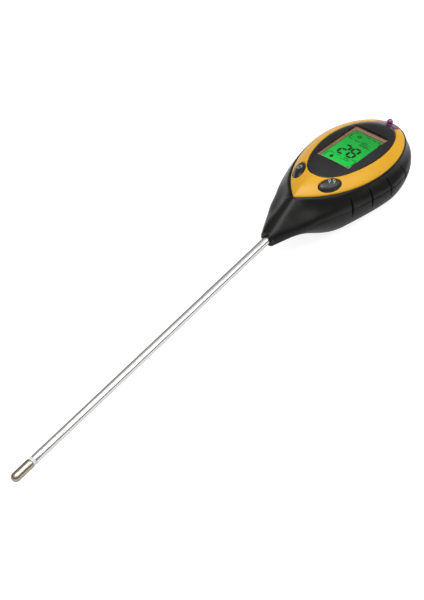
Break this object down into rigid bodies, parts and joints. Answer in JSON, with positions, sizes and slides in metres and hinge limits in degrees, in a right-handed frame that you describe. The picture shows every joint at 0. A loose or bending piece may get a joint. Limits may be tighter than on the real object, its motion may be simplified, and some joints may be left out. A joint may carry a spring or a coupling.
{
  "type": "soil moisture meter",
  "caption": "Hand-held soil meter: leaf-shaped two-part housing, lit display, press keys, light sensor, battery bay and a long steel probe with an insulated tip.",
  "frame": {"origin": "centre of the bounding box in plan, on the plane of the flat rear face", "axes": "+Z out of the face, +Y towards the sensor end of the housing with the probe pointing along -Y, +X to the right with the sensor end up"},
  "size_m": [0.062, 0.325, 0.0389],
  "materials": {
    "black_abs": "satin black moulded plastic",
    "yellow_abs": "satin yellow moulded plastic",
    "black_gloss": "glossy black moulded plastic",
    "clear_acrylic": "clear moulded window",
    "bronze_plastic": "bronze-brown sight frame",
    "lcd_green": "green lit display glass",
    "milky_acrylic": "milky light guide",
    "purple_acrylic": "translucent purple lens",
    "board_green": "solder-mask green",
    "steel": "drawn and polished steel",
    "nickel": "warm nickel plate",
    "white_plastic": "off-white plastic",
    "grey_rubber": "conductive rubber strip",
    "red_insulation": "wire insulation",
    "black_insulation": "black plastic and wire insulation",
    "battery_shell": "printed battery jacket"
  },
  "bodies": {
    "housing": {"front_shell": "black_abs", "rear_shell": "black_abs", "face_plate": "yellow_abs", "sensor_cap": "purple_acrylic", "sensor_dome": "purple_acrylic", "photodiode": "clear_acrylic", "display_bezel": "black_gloss", "window_pane": "clear_acrylic", "lcd_frame": "bronze_plastic", "lcd_glass": "lcd_green", "backlight": "milky_acrylic", "contact_strip": "grey_rubber", "main_board": "board_green", "controller_chip": "black_insulation", "board_screw_1": "steel", "board_screw_2": "steel", "board_screw_3": "steel", "on_switch": "steel", "mode_switch": "steel", "battery": "battery_shell", "battery_snap": "black_insulation", "red_lead": "red_insulation", "black_lead": "black_insulation", "sensor_lead": "white_plastic", "probe_tube": "steel", "probe_insulator": "white_plastic", "probe_tip": "nickel", "thermistor": "black_insulation", "probe_bush": "nickel", "probe_nut": "nickel", "thermistor_lead": "white_plastic", "tube_lead": "red_insulation", "housing_screw_1": "steel", "housing_screw_2": "steel", "housing_screw_3": "steel", "housing_screw_4": "steel", "housing_screw_5": "steel"},
    "on_key": {"on_key": "black_gloss", "on_switch_plunger": "white_plastic"},
    "mode_key": {"mode_key": "black_gloss", "mode_switch_plunger": "white_plastic"},
    "battery_cover": {"battery_cover": "black_abs"}
  },
  "joints": [
    {"name": "on_key_press", "type": "slide", "parent": "housing", "child": "on_key", "axis": [0, -0.1839, -0.9829], "range_m": [0, 0.0006], "stiffness_N_per_m": 2000},
    {"name": "mode_key_press", "type": "slide", "parent": "housing", "child": "mode_key", "axis": [0, -0.1839, -0.9829], "range_m": [0, 0.0006], "stiffness_N_per_m": 2000},
    {"name": "battery_cover_lift", "type": "slide", "parent": "housing", "child": "battery_cover", "axis": [0, 0, -1], "range_m": [0, 0.03]}
  ]
}
